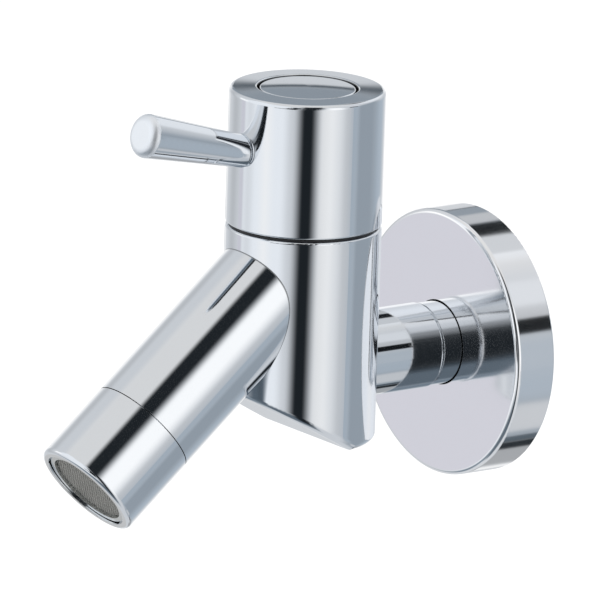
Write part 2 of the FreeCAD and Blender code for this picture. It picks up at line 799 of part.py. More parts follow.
def make_spline(body):
    """Cuts the gaps between the teeth round the top of the spindle."""
    doc.recompute()
    rim = "dim.spline_diameter / 2 + dim.spline_tooth_depth / 2"
    half = "dim.spline_diameter * pi / dim.spline_teeth * 3 / 8"
    gap = outline(body, "tooth_gap_outline", (
        ("dim.spline_diameter / 2 - dim.spline_tooth_depth", "0"),
        (rim, half),
        (rim, "-(%s)" % half)), "XY_Plane")
    bind(gap, ".AttachmentOffset.Base.z", SPLINE_START)
    tooth_gap = body.newObject("PartDesign::Pocket", "tooth_gap")
    tooth_gap.Profile = gap
    tooth_gap.Type = "Length"
    tooth_gap.Reversed = True
    bind(tooth_gap, "Length", "dim.spline_length + dim.overcut")
    gaps = body.newObject("PartDesign::PolarPattern", "tooth_gaps")
    gaps.Originals = [tooth_gap]
    gaps.Axis = (origin_feature(body, "Z_Axis"), [""])
    gaps.Angle = 360
    bind(gaps, "Occurrences", "dim.spline_teeth")
    body.Tip = gaps


def make_spindle_trim():
    """Slip washer, two O-rings and the retaining clip."""
    keep(tube("thrust", "dim.disc_diameter / 2", SHAFT_BORE, "dim.thrust_thickness", place_upright,
              COLLAR_END), "thrust_washer")
    section = "(dim.shaft_ring_section - 2 * dim.seal_clearance)"
    middle = "dim.shaft_diameter / 2 + dim.running_clearance - dim.shaft_ring_section / 2"
    rings = []
    for step in range(2):
        low = "dim.shaft_ring_first + %d * dim.shaft_ring_pitch" % step
        rings.append(ring_seal("shaft_ring_%d" % step, middle, section, place_upright,
                               low + " + dim.shaft_ring_section / 2 + dim.ring_side_clearance"))
    pair = doc.addObject("Part::Compound", "shaft_rings")
    pair.Links = rings
    keep(pair, "spindle_rings")
    keep(tube("clip", "dim.clip_diameter / 2", "dim.clip_groove_diameter / 2 + dim.seal_clearance",
              "dim.clip_thickness", place_upright, CLIP_START), "spindle_clip")


# Handle


HANDLE_BOTTOM = "dim.body_top + dim.groove_height"
BUSH_START = SPLINE_START
BUSH_END = BUSH_START + " + dim.bush_length"
WEB_END = BUSH_END + " + dim.web_thickness"
CAP_LEVEL = "dim.handle_top + dim.handle_crown"
CAP_FLOOR = CAP_LEVEL + " - dim.cap_thickness"
SPIGOT_END = CAP_FLOOR + " - dim.cap_spigot_length"
SPIGOT_BORE = "dim.cap_spigot_diameter / 2 + dim.cap_ring_section"


def make_handle_shell():
    """Round handle: open skirt below, hub for the splined bush, and a coned top with the cap recess."""
    rim = "dim.handle_diameter / 2"
    skirt = "dim.handle_diameter / 2 - dim.skirt_wall"
    recess = "dim.cap_diameter / 2 + dim.cap_gap"
    screw_hole = "dim.screw_diameter / 2 + dim.screw_clearance"
    pocket_end = SPIGOT_END + " - dim.spigot_clearance"
    body = turned("handle", (
        (skirt, HANDLE_BOTTOM),
        (rim, HANDLE_BOTTOM),
        (rim, "dim.handle_top"),
        (recess, CAP_LEVEL),
        (recess, CAP_FLOOR),
        (SPIGOT_BORE, CAP_FLOOR),
        (SPIGOT_BORE, pocket_end),
        ("dim.screw_pocket / 2", pocket_end),
        ("dim.screw_pocket / 2", WEB_END),
        (screw_hole, WEB_END),
        (screw_hole, BUSH_END),
        ("dim.bush_diameter / 2", BUSH_END),
        ("dim.bush_diameter / 2", HANDLE_BOTTOM + " + dim.skirt_depth"),
        (skirt, HANDLE_BOTTOM + " + dim.skirt_depth")), place_upright)
    rim_edges(body, number(rim), number("dim.handle_top"), "dim.handle_rim_round")
    rim_edges(body, number(recess), number(CAP_LEVEL), "dim.recess_round")
    rim_edges(body, number(rim), number(HANDLE_BOTTOM), "dim.handle_rim_round / 2")
    socket = cylinder("stud_socket", "dim.stud_diameter / 2 + dim.thread_clearance", "dim.handle_diameter",
                      place_lever, "dim.handle_diameter / 2 - dim.stud_in_handle")
    keep(cut("handle_tapped", body, socket), "handle_shell")


def make_handle_inside():
    """Splined bush, clamping screw and the ring that the skirt glides on."""
    keep(tube("bush", "dim.bush_diameter / 2 - dim.running_clearance",
              "dim.spline_diameter / 2 + dim.running_clearance", "dim.bush_length", place_upright,
              BUSH_START), "spline_bush")
    head = "dim.screw_head_diameter / 2"
    shank = "dim.screw_diameter / 2"
    drive = "dim.screw_drive / 2"
    point = SPLINE_END + " - dim.screw_length + dim.screw_hole_spare"
    top = WEB_END + " + dim.screw_head_height"
    keep(turned("screw", (
        ("0", point),
        (shank, point),
        (shank, WEB_END),
        (head, WEB_END),
        (head, top),
        (drive, top),
        (drive, top + " - dim.screw_head_height / 2"),
        ("0", top + " - dim.screw_head_height / 2")), place_upright), "handle_screw")
    keep(tube("glide", "dim.glide_diameter / 2", "dim.glide_bore / 2", "dim.glide_thickness", place_upright,
              "dim.body_top"), "glide_ring")


def make_handle_cap():
    """Cap with a slightly crowned top and a spigot, held by a rubber ring."""
    radius = "dim.cap_diameter / 2"
    spigot = "dim.cap_spigot_diameter / 2 - dim.seal_clearance"
    disc = turned("cap_blank", (
        ("0", SPIGOT_END),
        (spigot, SPIGOT_END),
        (spigot, CAP_FLOOR),
        (radius, CAP_FLOOR),
        (radius, CAP_LEVEL + " + dim.cap_crown"),
        ("0", CAP_LEVEL + " + dim.cap_crown")), place_upright)
    ball = doc.addObject("Part::Sphere", "cap_crown_ball")
    bulge = "(dim.cap_diameter * dim.cap_diameter / 4 + dim.cap_crown * dim.cap_crown) / (2 * dim.cap_crown)"
    bind(ball, "Radius", bulge)
    place_upright(ball, CAP_LEVEL + " + dim.cap_crown - dim.cap_sink - " + bulge)
    crowned = common("cap_crowned", disc, ball)
    middle = -number("dim.body_reach")
    edge = number(radius)
    low = number(CAP_LEVEL + " - dim.cap_sink * 2")

    def on_edge(point):
        return point.z > low and abs(math.hypot(point.x, point.y - middle) - edge) < EDGE_SEARCH

    keep(round_edges("cap_rounded", crowned, "dim.cap_round", on_edge), "handle_cap")
    section = "(dim.cap_ring_section - 2 * dim.seal_clearance)"
    keep(ring_seal("cap_seal", "dim.cap_spigot_diameter / 2 + dim.cap_ring_section / 2", section,
                   place_upright, CAP_FLOOR + " - dim.cap_spigot_length / 2"), "cap_ring")


def make_lever():
    """Rod that thickens towards a rounded tip, shaped to the handle's side, and its stud."""
    tip = "dim.lever_tip_diameter / 2"
    start = "dim.handle_diameter / 4"
    body = turned("lever_blank", (
        ("0", start),
        ("dim.lever_root_diameter / 2", start),
        ("dim.lever_root_diameter / 2", "dim.handle_diameter / 2"),
        (tip, "dim.lever_reach - dim.lever_tip_round"),
        (tip, "dim.lever_reach"),
        ("0", "dim.lever_reach")), place_lever)
    rim_edges(body, number(tip), number("dim.lever_reach"), "dim.lever_tip_round")
    side = cylinder("lever_cope", "dim.handle_diameter / 2", "dim.handle_top", place_upright)
    coped = cut("lever_coped", body, side)
    middle = -number("dim.body_reach")
    handle_radius = number("dim.handle_diameter / 2")

    def on_handle(point):
        return abs(math.hypot(point.x, point.y - middle) - handle_radius) < EDGE_SEARCH

    rounded = round_edges("lever_rounded", coped, "dim.lever_root_round", on_handle)
    hole = cylinder("lever_stud_hole", "dim.stud_diameter / 2 + dim.thread_clearance",
                    "dim.handle_diameter / 4 + dim.stud_in_lever", place_lever, start)
    keep(cut("lever_drilled", rounded, hole), "lever_rod")
    length = "dim.stud_in_handle + dim.stud_in_lever - 2 * dim.stud_end_gap"
    keep(cylinder("stud", "dim.stud_diameter / 2", length, place_lever,
                  "dim.handle_diameter / 2 - dim.stud_in_handle + dim.stud_end_gap"), "lever_stud")


make_tap_body()
make_spout_tube()
make_aerator_housing()
make_aerator()
make_flange()
make_headwork_body()
make_valve_seals()
make_discs()
make_spindle()
make_spindle_trim()
make_handle_shell()
make_handle_inside()
make_handle_cap()
make_lever()

doc.recompute()
for item in doc.Objects:
    if any(state in ("Invalid", "Error") for state in item.State):
        raise RuntimeError("%s failed: %s" % (item.Name, item.State))
for item in nodes:
    if item.Shape.isNull() or not item.Shape.isValid():
        raise RuntimeError("%s has no valid shape" % item.Label)

os.makedirs("parts", exist_ok=True)
for item in nodes:
    item.Shape.exportStep("parts/%s.step" % item.Label)
    box = item.Shape.BoundBox
    print("%-18s solids %d volume %.0f  x %.1f %.1f  y %.1f %.1f  z %.1f %.1f" % (
        item.Label, len(item.Shape.Solids), item.Shape.Volume,
        box.XMin, box.XMax, box.YMin, box.YMax, box.ZMin, box.ZMax))
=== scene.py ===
"""Looks of a wall-mounted cold water tap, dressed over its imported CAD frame.

The frame's origin lies on the wall face, on the inlet's axis. +Y goes into the wall and +Z is up.
Every length here is in metres and every angle is in degrees unless its name says otherwise.
"""

import logging
import math
from dataclasses import dataclass
from enum import Enum
from typing import Sequence

import bpy
import numpy as np
from mathutils import Matrix, Vector


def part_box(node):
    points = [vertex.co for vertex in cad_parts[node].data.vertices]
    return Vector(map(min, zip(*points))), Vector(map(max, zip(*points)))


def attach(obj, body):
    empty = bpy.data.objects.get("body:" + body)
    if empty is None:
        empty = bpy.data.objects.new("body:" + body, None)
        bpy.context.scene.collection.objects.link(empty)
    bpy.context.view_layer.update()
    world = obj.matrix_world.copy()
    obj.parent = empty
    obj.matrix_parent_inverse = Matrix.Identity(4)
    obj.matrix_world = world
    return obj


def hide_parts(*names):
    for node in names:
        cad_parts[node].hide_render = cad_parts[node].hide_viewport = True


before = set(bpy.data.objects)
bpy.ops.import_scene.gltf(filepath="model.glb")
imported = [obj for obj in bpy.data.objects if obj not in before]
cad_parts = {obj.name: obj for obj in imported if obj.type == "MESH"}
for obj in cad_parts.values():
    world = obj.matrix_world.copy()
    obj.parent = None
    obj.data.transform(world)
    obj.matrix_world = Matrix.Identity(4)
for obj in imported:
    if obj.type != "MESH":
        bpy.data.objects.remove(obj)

log = logging.getLogger("wall_tap")

MM = 0.001

# The picture's side in pixels, and the width of the camera's sensor in millimetres
IMAGE_SIDE = 600
SENSOR = 36.0

# Places and slopes that several pieces share
COLUMN_Y = -54.0 * MM
COLUMN_AXIS = (0.0, COLUMN_Y, 0.0)
SPOUT_FALL = 40.0
LEVER_RISE = 14.2
LEVER_START = (0.0, COLUMN_Y, 51.4 * MM)


class Tint(Enum):
    """Named hues that a light panel may have, as red, green and blue shares."""

    NEUTRAL = (1.0, 1.0, 1.0)
    COOL = (0.97, 1.0, 1.04)
    STEEL = (0.88, 1.0, 1.13)
    TEAL = (0.80, 1.0, 1.20)
    LILAC = (0.975, 0.97, 1.055)


class Lay(Enum):
    """Which axis a part's tool marks run round, as the turn that carries Z onto it."""

    UPRIGHT = (0.0, 0.0, 0.0)
    LEVER = (90.0 - LEVER_RISE, 0.0, 0.0)


class Graph:
    """A node tree with short calls that add nodes and join them."""

    def __init__(self, tree: bpy.types.NodeTree) -> None:
        """Starts on the emptied node tree of a material or of the world."""
        self.tree = tree
        tree.nodes.clear()

    def node(self, kind: str, **values: object) -> bpy.types.Node:
        """Adds a node and fills its named inputs.

        Args:
            kind: Blender's type name of the node.
            values: Socket names, with spaces as underscores, and what each one gets.

        Returns:
            The new node.
        """
        made = self.tree.nodes.new(kind)
        for name, value in values.items():
            self.feed(made.inputs[name.replace("_", " ")], value)
        return made

    def feed(self, socket: bpy.types.NodeSocket, value: object) -> None:
        """Gives a socket a link or a constant.

        Args:
            socket: The input that is fed.
            value: Another node's output, or a number or tuple.
        """
        if isinstance(value, bpy.types.NodeSocket):
            self.tree.links.new(value, socket)
        else:
            socket.default_value = value

    def math(
        self, work: str, first: object, second: object = 0.0, third: object = 0.0
    ) -> bpy.types.NodeSocket:
        """Adds one Math node.

        Args:
            work: Blender's name of the operation, for example ADD or SINE.
            first: The first value.
            second: The second value, where the operation has one.
            third: The third value, where the operation has one.

        Returns:
            The node's result.
        """
        made = self.tree.nodes.new("ShaderNodeMath")
        made.operation = work
        for socket, value in zip(made.inputs, (first, second, third)):
            self.feed(socket, value)
        return made.outputs[0]

    def radius(self, x: bpy.types.NodeSocket, y: bpy.types.NodeSocket) -> bpy.types.NodeSocket:
        """Adds the distance of x and y from zero, as the root of their squares' sum."""
        squares = self.math("MULTIPLY_ADD", x, x, self.math("MULTIPLY", y, y))
        return self.math("SQRT", squares)

    def smooth(self, value: object, low: float, high: float) -> bpy.types.NodeSocket:
        """Adds a smooth step. It also works where low is the larger end.

        Args:
            value: What is held against the two ends.
            low: Where the step is 0.
            high: Where the step is 1.

        Returns:
            The step, from 0 to 1.
        """
        made = self.tree.nodes.new("ShaderNodeMapRange")
        made.interpolation_type = "SMOOTHSTEP"
        for socket, item in zip(made.inputs, (value, low, high, 0.0, 1.0)):
            self.feed(socket, item)
        return made.outputs[0]

    def mix(self, share: object, first: object, second: object) -> bpy.types.NodeSocket:
        """Adds a mix of two colours.

        Args:
            share: 0 shows the first colour and 1 the second.
            first: The first colour.
            second: The second colour.

        Returns:
            The mixed colour.
        """
        made = self.tree.nodes.new("ShaderNodeMix")
        made.data_type = "RGBA"
        for index, value in ((0, share), (6, first), (7, second)):
            self.feed(made.inputs[index], value)
        return made.outputs[2]

    def blend(self, share: object, first: bpy.types.Node, second: bpy.types.Node) -> bpy.types.Node:
        """Adds a mix of two shaders.

        Args:
            share: 0 shows the first shader and 1 the second.
            first: The first shader.
            second: The second shader.

        Returns:
            The mixing node.
        """
        made = self.tree.nodes.new("ShaderNodeMixShader")
        for socket, value in zip(made.inputs, (share, first.outputs[0], second.outputs[0])):
            self.feed(socket, value)
        return made

    def noise(self, place: object, scale: float, detail: float = 2.0) -> bpy.types.NodeSocket:
        """Adds a noise field from 0 to 1 at a place, with scale in features per metre."""
        made = self.node("ShaderNodeTexNoise", Vector=place, Scale=scale, Detail=detail)
        return made.outputs["Fac"]

    def bump(self, height: object, strength: float, depth: float) -> bpy.types.NodeSocket:
        """Adds a relief, with its strength from 0 to 1 and its depth, and returns its normal."""
        made = self.node("ShaderNodeBump", Height=height, Strength=strength, Distance=depth)
        return made.outputs[0]

    def surface(self, **values: object) -> None:
        """Adds the Principled shader with its named inputs, and shows it on the material."""
        shader = self.node("ShaderNodeBsdfPrincipled", **values)
        self.node("ShaderNodeOutputMaterial", Surface=shader.outputs[0])


def rgba(colour: Sequence[float], gain: float = 1.0) -> tuple[float, float, float, float]:
    """Returns a colour of three shares, times a gain, with full alpha."""
    return (colour[0] * gain, colour[1] * gain, colour[2] * gain, 1.0)


def start_material(name: str) -> tuple[bpy.types.Material, Graph, bpy.types.NodeSocket]:
    """Starts a material on an empty graph.

    Args:
        name: The material's name.

    Returns:
        The material, its graph, and the shaded point in object coordinates.
    """
    made = bpy.data.materials.new(name)
    made.use_nodes = True
    graph = Graph(made.node_tree)
    return made, graph, graph.node("ShaderNodeTexCoord").outputs["Object"]


# Finishes


@dataclass(frozen=True)
class SeamShade:
    """Painted shade on the inside of a round seam about an upright axis: its wall is painted darker
    and given duller gloss.
    """

    centre: tuple[float, float]
    radius: float
    top: float
    depth: float
    tone: float = 0.12
    dulling: float = 0.3

    def mask(self, graph: Graph, place: bpy.types.NodeSocket) -> bpy.types.NodeSocket:
        """Adds the mask of the seam's wall, where the shade is painted.

        Args:
            graph: The material's graph.
            place: The point in object coordinates.

        Returns:
            One within half a depth of the radius and a depth or more below the top. Zero above the
            top, and past the radius by a depth or more.
        """
        parts = graph.node("ShaderNodeSeparateXYZ", Vector=place).outputs
        x = graph.math("SUBTRACT", parts[0], self.centre[0])
        y = graph.math("SUBTRACT", parts[1], self.centre[1])
        out = graph.radius(x, y)
        near = graph.smooth(out, self.radius + self.depth, self.radius + self.depth / 2)
        below = graph.smooth(parts[2], self.top, self.top - self.depth)
        return graph.math("MULTIPLY", near, below)


@dataclass(frozen=True)
class SatinEndHighlight:
    """Dulled end of a rod that points towards -Y and up, past a given distance along its axis, with
    its colour scaled by tone: above one it is a painted highlight.
    """

    start: tuple[float, float, float]
    rise: float
    distance: float
    tone: float = 1.0
    dulling: float = 0.3
    border: float = 0.05 * MM

    def mask(self, graph: Graph, place: bpy.types.NodeSocket) -> bpy.types.NodeSocket:
        """Adds the mask of the rod's end.

        Args:
            graph: The material's graph.
            place: The point in object coordinates.

        Returns:
            One where the point lies past the distance along the axis, zero before it.
        """
        parts = graph.node("ShaderNodeSeparateXYZ", Vector=place).outputs
        rise = math.radians(self.rise)
        y = graph.math("SUBTRACT", parts[1], self.start[1])
        z = graph.math("SUBTRACT", parts[2], self.start[2])
        upward = graph.math("MULTIPLY", z, math.sin(rise))
        along = graph.math("MULTIPLY_ADD", y, -math.cos(rise), upward)
        return graph.smooth(along, self.distance - self.border, self.distance + self.border)


@dataclass(frozen=True)
class ChromeFinish:
    """Bright plating over cast or turned brass, with a faint cast skin under the polish.

    Each scale is in features per metre. The cosines are those of the angle between the true normal
    and the normal of a rounded edge.
    """

    name: str
    colour: tuple[float, float, float] = (0.823, 0.846, 0.873)
    roughness: float = 0.045
    haze: float = 0.03
    ripple: float = 1.0
    # Painted shade in a seam or a painted highlight on a rod's end, or none.
    patch: SeamShade | SatinEndHighlight | None = None
    cloud_scale: float = 90.0
    cloud_share: float = 0.35
    cloud_tone: float = 0.94
    slow_scale: float = 55.0
    fine_scale: float = 900.0
    fine_share: float = 0.02
    ripple_depth: float = 0.02 * MM
    ripple_strength: float = 0.35
    edge_radius: float = 0.35 * MM
    edge_samples: int = 4
    edge_dulling: float = 0.12
    edge_highlight_share: float = 0.5
    edge_highlight_colour: tuple[float, float, float] = (0.92, 0.92, 0.92)
    face_cosine: float = 0.995
    edge_cosine: float = 0.86

    def build(self) -> bpy.types.Material:
        """Makes the material.

        Returns:
            A metal whose gloss drifts with a faint haze, and whose edges are duller and painted
            lighter as a painted highlight.
        """
        made, graph, place = start_material(self.name)
        cloud = graph.noise(place, self.cloud_scale, 3.0)
        fine = graph.noise(place, self.fine_scale)
        slow = graph.noise(place, self.slow_scale, 1.0)
        edge = self.edge_mask(graph)
        haze = graph.math("MULTIPLY", cloud, self.haze)
        worn = graph.math("MULTIPLY_ADD", edge, self.edge_dulling, haze)
        gloss = graph.math("ADD", worn, self.roughness)
        clouded = graph.math("MULTIPLY", cloud, self.cloud_share)
        plain = graph.mix(clouded, rgba(self.colour), rgba(self.colour, self.cloud_tone))
        # Painted highlight: rounded edges are painted towards a lighter colour.
        painted_edge_highlight = graph.math("MULTIPLY", edge, self.edge_highlight_share)
        tone = graph.mix(painted_edge_highlight, plain, rgba(self.edge_highlight_colour))
        # Painted shade or painted highlight: the patch's tone scales the colour, and its gloss is
        # duller there.
        if self.patch:
            inside = self.patch.mask(graph, place)
            tone = graph.mix(inside, tone, rgba(self.colour, self.patch.tone))
            gloss = graph.math("MULTIPLY_ADD", inside, self.patch.dulling, gloss)
        relief = graph.math("MULTIPLY_ADD", fine, self.fine_share, slow)
        normal = graph.bump(relief, self.ripple_strength, self.ripple_depth * self.ripple)
        graph.surface(Base_Color=tone, Roughness=gloss, Normal=normal, Metallic=1.0)
        return made

    def edge_mask(self, graph: Graph) -> bpy.types.NodeSocket:
        """Adds a mask of the rounded edges, which get duller gloss and a painted highlight.

        Args:
            graph: The material's graph.

        Returns:
            One where a rounded normal leaves the true one, zero on open faces.
        """
        rounded = graph.node("ShaderNodeBevel", Radius=self.edge_radius)
        rounded.samples = self.edge_samples
        true = graph.node("ShaderNodeNewGeometry").outputs["Normal"]
        dot = graph.tree.nodes.new("ShaderNodeVectorMath")
        dot.operation = "DOT_PRODUCT"
        graph.feed(dot.inputs[0], rounded.outputs[0])
        graph.feed(dot.inputs[1], true)
        return graph.smooth(dot.outputs["Value"], self.face_cosine, self.edge_cosine)


@dataclass(frozen=True)
class MachinedFinish:
    """Bare metal with the fine rings that a lathe leaves round the part's axis."""

    name: str
    colour: tuple[float, float, float]
    roughness: float = 0.28
    lay: Lay = Lay.UPRIGHT
    centre: tuple[float, float, float] = COLUMN_AXIS
    ring_pitch: float = 0.22 * MM
    ring_depth: float = 0.012 * MM
    ring_strength: float = 0.5
    grain_scale: float = 2400.0
    grain_share: float = 0.4
    tarnish_scale: float = 160.0
    tarnish_tone: float = 0.72
    tarnish_dulling: float = 0.14

    def build(self) -> bpy.types.Material:
        """Makes the material.

        Returns:
            A metal with ring marks in its relief, and a tarnish that drifts between two tones.
        """
        made, graph, place = start_material(self.name)
        turned = graph.node("ShaderNodeMapping", Vector=place)
        turned.vector_type = "TEXTURE"
        turned.inputs["Location"].default_value = self.centre
        turn = tuple(math.radians(angle) for angle in self.lay.value)
        turned.inputs["Rotation"].default_value = turn
        parts = graph.node("ShaderNodeSeparateXYZ", Vector=turned.outputs[0]).outputs
        along = graph.math("ADD", parts[2], graph.radius(parts[0], parts[1]))
        rings = graph.math("SINE", graph.math("MULTIPLY", along, math.tau / self.ring_pitch))
        tarnish = graph.noise(place, self.tarnish_scale, 4.0)
        grain = graph.noise(place, self.grain_scale)
        tone = graph.mix(tarnish, rgba(self.colour), rgba(self.colour, self.tarnish_tone))
        gloss = graph.math("MULTIPLY_ADD", tarnish, self.tarnish_dulling, self.roughness)
        relief = graph.math("MULTIPLY_ADD", grain, self.grain_share, rings)
        normal = graph.bump(relief, self.ring_strength, self.ring_depth)
        graph.surface(Base_Color=tone, Roughness=gloss, Normal=normal, Metallic=1.0)
        return made


@dataclass(frozen=True)
class MouldedFinish:
    """Plastic, rubber or lapped ceramic: a dull body colour with a fine moulded grain."""

    name: str
    colour: tuple[float, float, float]
    roughness: float
    grain_scale: float
    grain_depth: float = 0.02 * MM
    grain_strength: float = 0.6
    gloss_spread: float = 0.16
    specular: float = 0.5
    bloom: float = 0.08
    bloom_scale: float = 210.0

    def build(self) -> bpy.types.Material:
        """Makes the material.

        Returns:
            A non-metal with a grain in its relief and a pale bloom that follows a slow noise.
        """
        made, graph, place = start_material(self.name)
        cloud = graph.noise(place, self.bloom_scale, 4.0)
        grain = graph.noise(place, self.grain_scale, 3.0)
        pale = tuple(share + (1.0 - share) * self.bloom for share in self.colour)
        tone = graph.mix(cloud, rgba(self.colour), rgba(pale))
        least = self.roughness - self.gloss_spread / 2
        gloss = graph.math("MULTIPLY_ADD", grain, self.gloss_spread, least)
        normal = graph.bump(grain, self.grain_strength, self.grain_depth)
        graph.surface(
            Base_Color=tone, Roughness=gloss, Normal=normal, Specular_IOR_Level=self.specular
        )
        return made


@dataclass(frozen=True)
class WireFinish:
    """Drawn stainless wire of the outlet screen, dulled by lime."""

    name: str = "woven_steel"
    # The wire's colour at the top of the weave, and its painted shade colour at the underside.
    lit_colour: tuple[float, float, float] = (0.56, 0.545, 0.51)
    shaded_colour: tuple[float, float, float] = (0.185, 0.18, 0.165)
    roughness: float = 0.28
    metallic: float = 0.9
    scratch_scale: float = 3500.0
    scratch_dulling: float = 0.2
    scratch_depth: float = 0.01 * MM
    scratch_strength: float = 0.4
    lime_scale: float = 420.0
    lime_share: float = 0.3
    lime_colour: tuple[float, float, float] = (0.66, 0.65, 0.6)

    def build(self) -> bpy.types.Material:
        """Makes the material.

        Returns:
            A satin metal with painted shade below the mean plane of the weave.
        """
        made, graph, place = start_material(self.name)
        scratch = graph.noise(place, self.scratch_scale)
        lime = graph.noise(place, self.lime_scale, 4.0)
        # Painted shade: the height across the weave darkens the wire towards its underside.
        crest = graph.node("ShaderNodeAttribute")
        crest.attribute_name = "crest"
        shaded_wire = graph.mix(crest.outputs["Fac"], rgba(self.shaded_colour), rgba(self.lit_colour))
        limed = graph.math("MULTIPLY", lime, self.lime_share)
        tone = graph.mix(limed, shaded_wire, rgba(self.lime_colour))
        gloss = graph.math("MULTIPLY_ADD", scratch, self.scratch_dulling, self.roughness)
        normal = graph.bump(scratch, self.scratch_strength, self.scratch_depth)
        graph.surface(Base_Color=tone, Roughness=gloss, Normal=normal, Metallic=self.metallic)
        return made


Finish = ChromeFinish | MachinedFinish | MouldedFinish


# Meshes


def grid_faces(rows: int, columns: int, ring: bool, start: int = 0) -> np.ndarray:
    """Numbers the quads of a grid of points.

    Row i, column j has the number start + i * columns + j, and a quad joins (i, j), (i, j + 1),
    (i + 1, j + 1) and (i + 1, j). A ring also joins the last column to the first.

    Args:
        rows: Points along the first parameter.
        columns: Points along the second parameter.
        ring: Whether the second parameter closes on itself.
        start: The number of the grid's first point.

    Returns:
        An array of quads, one row each.
    """
    first = np.arange(rows - 1)[:, None]
    second = np.arange(columns if ring else columns - 1)[None, :]
    after = (second + 1) % columns
    corners = (
        first * columns + second,
        first * columns + after,
        (first + 1) * columns + after,
        (first + 1) * columns + second,
    )
    return np.stack(corners, axis=-1).reshape(-1, 4) + start


def make_piece(
    name: str, points: np.ndarray, faces: np.ndarray, smooth: bool = True
) -> bpy.types.Object:
    """Puts arrays of points and quads into a new mesh object at the origin.

    Args:
        name: The piece's name.
        points: One row of x, y and z for each point, in the frame's metres.
        faces: One row of four point numbers for each quad.
        smooth: Whether the faces are shaded smooth.

    Returns:
        The object, linked to the scene.
    """
    mesh = bpy.data.meshes.new(name)
    mesh.vertices.add(len(points))
    mesh.vertices.foreach_set("co", np.asarray(points, np.float32).ravel())
    mesh.loops.add(faces.size)
    mesh.loops.foreach_set("vertex_index", faces.astype(np.int32).ravel())
    mesh.polygons.add(len(faces))
    mesh.polygons.foreach_set("loop_start", np.arange(0, faces.size, 4, dtype=np.int32))
    mesh.polygons.foreach_set("use_smooth", np.full(len(faces), smooth))
    mesh.update(calc_edges=True)
    mesh.validate()
    made = bpy.data.objects.new(name, mesh)
    bpy.context.scene.collection.objects.link(made)
    return made


def dress(made: bpy.types.Object, material: bpy.types.Material) -> None:
    """Puts one material on every slot of an object, and adds a slot where it has none.

    Args:
        made: The object.
        material: The material.
    """
    if not made.material_slots:
        made.data.materials.append(material)
    for slot in made.material_slots:
        slot.material = material


def dress_nodes(finish: Finish, *names: str) -> None:
    """Dresses CAD nodes in one finish, whose material is made once.

    Args:
        finish: What the nodes are made of.
        names: The nodes' names.
    """
    material = bpy.data.materials.get(finish.name) or finish.build()
    for name in names:
        dress(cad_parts[name], material)
        log.info("%s dressed in %s", name, finish.name)


# The tap


@dataclass
class Column:
    """Cast column with its inlet arm, and the thread that screws into the wall.

    The profile of the thread's crest is given as shares of half its foot and of its height.
    """

    thread_radius: float = 10.4775 * MM
    thread_pitch: float = 1.814 * MM
    thread_start: float = -3.2 * MM
    thread_end: float = 12.4 * MM
    crest_height: float = 0.1 * MM
    root_width: float = 0.62
    profile_along: tuple[float, ...] = (-1.0, -0.45, -0.3, 0.3, 0.45, 1.0)
    profile_out: tuple[float, ...] = (-0.6, 0.8, 1.0, 1.0, 0.8, -0.6)
    least_fade: float = 0.02
    steps_round: int = 96
    finish: ChromeFinish = ChromeFinish("body_plating", ripple=1.6)

    def build(self) -> None:
        """Dresses the column and winds the thread's crest round the inlet."""
        dress_nodes(self.finish, "tap_body")
        ridge = self.thread_ridge()
        dress(ridge, bpy.data.materials[self.finish.name])
        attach(ridge, "tap")
        log.info("%s wound on the inlet", ridge.name)

    def thread_ridge(self) -> bpy.types.Object:
        """Winds the crest of the inlet's thread.

        The first parameter is the turn angle a, which carries the profile along the inlet by one
        pitch a turn. The second goes round a flat-topped profile whose foot is root_width of a
        pitch wide. The crest shrinks to least_fade of its size over the first and last half turn,
        and two quads close each end.

        Returns:
            The ridge, as one closed band.
        """
        turns = (self.thread_end - self.thread_start) / self.thread_pitch
        angle = np.linspace(0.0, turns * math.tau, int(turns * self.steps_round))
        fade = np.clip(np.minimum(angle, angle[-1] - angle) / math.pi, self.least_fade, 1.0)
        half = self.root_width * self.thread_pitch / 2
        along = np.array(self.profile_along) * half
        out = np.array(self.profile_out) * self.crest_height
        radius = self.thread_radius + out[None, :] * fade[:, None]
        advance = self.thread_pitch * angle[:, None] / math.tau
        x = radius * np.sin(angle)[:, None]
        y = self.thread_start + advance + along[None, :] * fade[:, None]
        z = radius * np.cos(angle)[:, None]
        points = np.stack((x, y, z), axis=-1).reshape(-1, 3)
        faces = grid_faces(len(angle), len(along), ring=True)[:, ::-1]
        ends = np.array([[0, 1, 4, 5], [1, 2, 3, 4]])
        far_ends = ends[:, ::-1] + (len(angle) - 1) * len(along)
        return make_piece("inlet_thread_ridge", points, np.vstack((faces, ends, far_ends)))


@dataclass
class WallFlange:
    """Round cover over the hole in the wall, and the ring that grips the arm."""

    finish: ChromeFinish = ChromeFinish(
        "flange_plating", colour=(0.94, 0.945, 0.96), roughness=0.07, haze=0.05, ripple=0.5
    )
    ring: MouldedFinish = MouldedFinish(
        "flange_rubber", (0.022, 0.022, 0.024), roughness=0.62, grain_scale=2600.0
    )

    def build(self) -> None:
        """Dresses the flange and its rubber ring."""
        dress_nodes(self.finish, "wall_flange")
        dress_nodes(self.ring, "flange_ring")


@dataclass
class Spout:
    """Straight tube with the screwed sleeve at its end."""

    # Painted shade along the tube's joint with the column: a thin band painted darker and duller.
    column_joint_shade: SeamShade = SeamShade(
        (0.0, COLUMN_Y), radius=19.4 * MM, top=60.0 * MM, depth=0.3 * MM, tone=0.4
    )
    tube: ChromeFinish = ChromeFinish("spout_plating", ripple=0.6, patch=column_joint_shade)
    sleeve: ChromeFinish = ChromeFinish("housing_plating", ripple=0.4)

    def build(self) -> None:
        """Dresses the tube and the sleeve."""
        dress_nodes(self.tube, "spout_tube")
        dress_nodes(self.sleeve, "aerator_housing")


